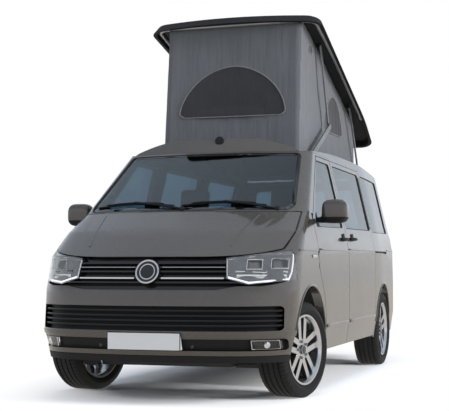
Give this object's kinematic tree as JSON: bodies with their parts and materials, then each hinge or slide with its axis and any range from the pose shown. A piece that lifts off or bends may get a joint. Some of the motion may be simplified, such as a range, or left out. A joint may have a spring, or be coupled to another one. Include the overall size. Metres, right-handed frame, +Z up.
{
  "type": "camper van",
  "caption": "One-box camper van with a lifting roof on folding arms, cloth tent walls, hinged cab doors, bonnet and tailgate, steered front wheels and a furnished living space.",
  "frame": {"origin": "on the ground below the middle of the van's box", "axes": "+X forward, +Y to the van's left, +Z up"},
  "size_m": [4.904, 2.297, 3.0552],
  "materials": {
    "paint": "metallic gloss",
    "dark_plastic": "grained matt",
    "gloss_black": "gloss",
    "glass": "tinted clear",
    "lamp_glass": "clear",
    "lamp_bowl": "dark gloss with bright rings",
    "red_lamp": "gloss lens",
    "plate": "blank satin",
    "alloy": "satin silver with black recesses",
    "tyre": "black rubber",
    "cloth": "woven tent cloth",
    "seat_cloth": "woven seat cloth",
    "trim": "grained interior trim",
    "cabinet": "light laminate",
    "structure": "satin primer",
    "steel": "dull steel",
    "iron": "cast"
  },
  "bodies": {
    "body": {"floor_pan": "structure", "inner_frame": "structure", "front_structure": "structure", "cab_frame": "paint", "windscreen": "glass", "roof_frame": "paint", "arm_feet": "steel", "side_panel_left": "paint", "side_panel_right": "paint", "sliding_door": "paint", "sliding_door_glass": "glass", "side_glass": "glass", "wings": "paint", "front_bumper": "paint", "front_valance": "dark_plastic", "upper_grille": "gloss_black", "lower_grille": "dark_plastic", "fog_band": "dark_plastic", "fog_lamps": "lamp_glass", "number_plate": "plate", "headlamp_lenses": "lamp_glass", "headlamp_bowls": "lamp_bowl", "tail_lamps": "red_lamp", "rear_bumper": "paint", "arch_liners": "dark_plastic", "engine": "iron", "front_axle": "iron", "rear_axle": "iron", "fuel_tank": "dark_plastic", "exhaust": "steel", "dashboard": "trim", "steering_wheel": "trim", "front_seats": "seat_cloth", "rear_bench": "seat_cloth", "kitchen": "cabinet", "tent": "cloth"},
    "front_door_left": {"front_door_left": "paint", "front_door_glass_left": "glass", "door_mirror_left": "paint"},
    "front_door_right": {"front_door_right": "paint", "front_door_glass_right": "glass", "door_mirror_right": "paint"},
    "bonnet": {"bonnet": "paint"},
    "tailgate": {"tailgate": "paint", "tailgate_glass": "glass"},
    "lift_arms": {"lift_arms": "steel"},
    "roof_lid": {"roof_lid": "paint"},
    "lower_stays": {"lower_stays": "steel"},
    "upper_stays": {"upper_stays": "steel"},
    "knuckle_left": {"knuckle_left": "iron"},
    "knuckle_right": {"knuckle_right": "iron"},
    "wheel_front_left": {"rim_front_left": "alloy", "tyre_front_left": "tyre"},
    "wheel_front_right": {"rim_front_right": "alloy", "tyre_front_right": "tyre"},
    "wheel_rear_left": {"rim_rear_left": "alloy", "tyre_rear_left": "tyre"},
    "wheel_rear_right": {"rim_rear_right": "alloy", "tyre_rear_right": "tyre"}
  },
  "joints": [
    {"name": "front_door_left_swing", "type": "hinge", "parent": "body", "child": "front_door_left", "pos_m": [1.292, 0.955, 1], "axis": [0, 0, -1], "range_deg": [0, 65]},
    {"name": "front_door_right_swing", "type": "hinge", "parent": "body", "child": "front_door_right", "pos_m": [1.292, -0.955, 1], "axis": [0, 0, 1], "range_deg": [0, 65]},
    {"name": "bonnet_lift", "type": "hinge", "parent": "body", "child": "bonnet", "pos_m": [1.485, 0, 1.345], "axis": [0, -1, 0], "range_deg": [0, 50]},
    {"name": "tailgate_lift", "type": "hinge", "parent": "body", "child": "tailgate", "pos_m": [-2.294, 0, 1.846], "axis": [0, 1, 0], "range_deg": [0, 88]},
    {"name": "roof_lift", "type": "hinge", "parent": "body", "child": "lift_arms", "pos_m": [-1.74, 0, 1.887], "axis": [0, -1, 0], "range_deg": [-52.38, 0], "deforming": ["tent"]},
    {"name": "lid_tilt", "type": "hinge", "parent": "lift_arms", "child": "roof_lid", "pos_m": [-1.33002, 0, 2.4813], "axis": [0, -1, 0], "range_deg": [0, 34.58]},
    {"name": "lower_stay_fold", "type": "hinge", "parent": "body", "child": "lower_stays", "pos_m": [0.263, 0, 1.887], "axis": [0, -1, 0], "range_deg": [0, 23.65]},
    {"name": "upper_stay_fold", "type": "hinge", "parent": "roof_lid", "child": "upper_stays", "pos_m": [-0.10939, 0, 2.87321], "axis": [0, -1, 0], "range_deg": [-47.22, 0]},
    {"name": "steer_left", "type": "hinge", "parent": "body", "child": "knuckle_left", "pos_m": [1.544, 0.66, 0.343], "axis": [0, 0, 1], "range_deg": [-22, 50]},
    {"name": "steer_right", "type": "hinge", "parent": "body", "child": "knuckle_right", "pos_m": [1.544, -0.66, 0.343], "axis": [0, 0, 1], "range_deg": [-22, 50]},
    {"name": "wheel_front_left_spin", "type": "hinge", "parent": "knuckle_left", "child": "wheel_front_left", "pos_m": [1.58271, 0.81525, 0.343], "axis": [0.2419, 0.9703, 0], "continuous": true},
    {"name": "wheel_front_right_spin", "type": "hinge", "parent": "knuckle_right", "child": "wheel_front_right", "pos_m": [1.50529, -0.81525, 0.343], "axis": [0.2419, 0.9703, 0], "continuous": true},
    {"name": "wheel_rear_left_spin", "type": "hinge", "parent": "body", "child": "wheel_rear_left", "pos_m": [-1.456, 0.82, 0.343], "axis": [0, 1, 0], "continuous": true},
    {"name": "wheel_rear_right_spin", "type": "hinge", "parent": "body", "child": "wheel_rear_right", "pos_m": [-1.456, -0.82, 0.343], "axis": [0, 1, 0], "continuous": true}
  ],
  "couplings": [
    {"joint": "lid_tilt", "follows": "roof_lift", "ratio": -0.66019},
    {"joint": "lower_stay_fold", "follows": "roof_lift", "ratio": -0.45148},
    {"joint": "upper_stay_fold", "follows": "roof_lift", "ratio": 0.90148},
    {"joint": "steer_right", "follows": "steer_left", "ratio": 1}
  ]
}
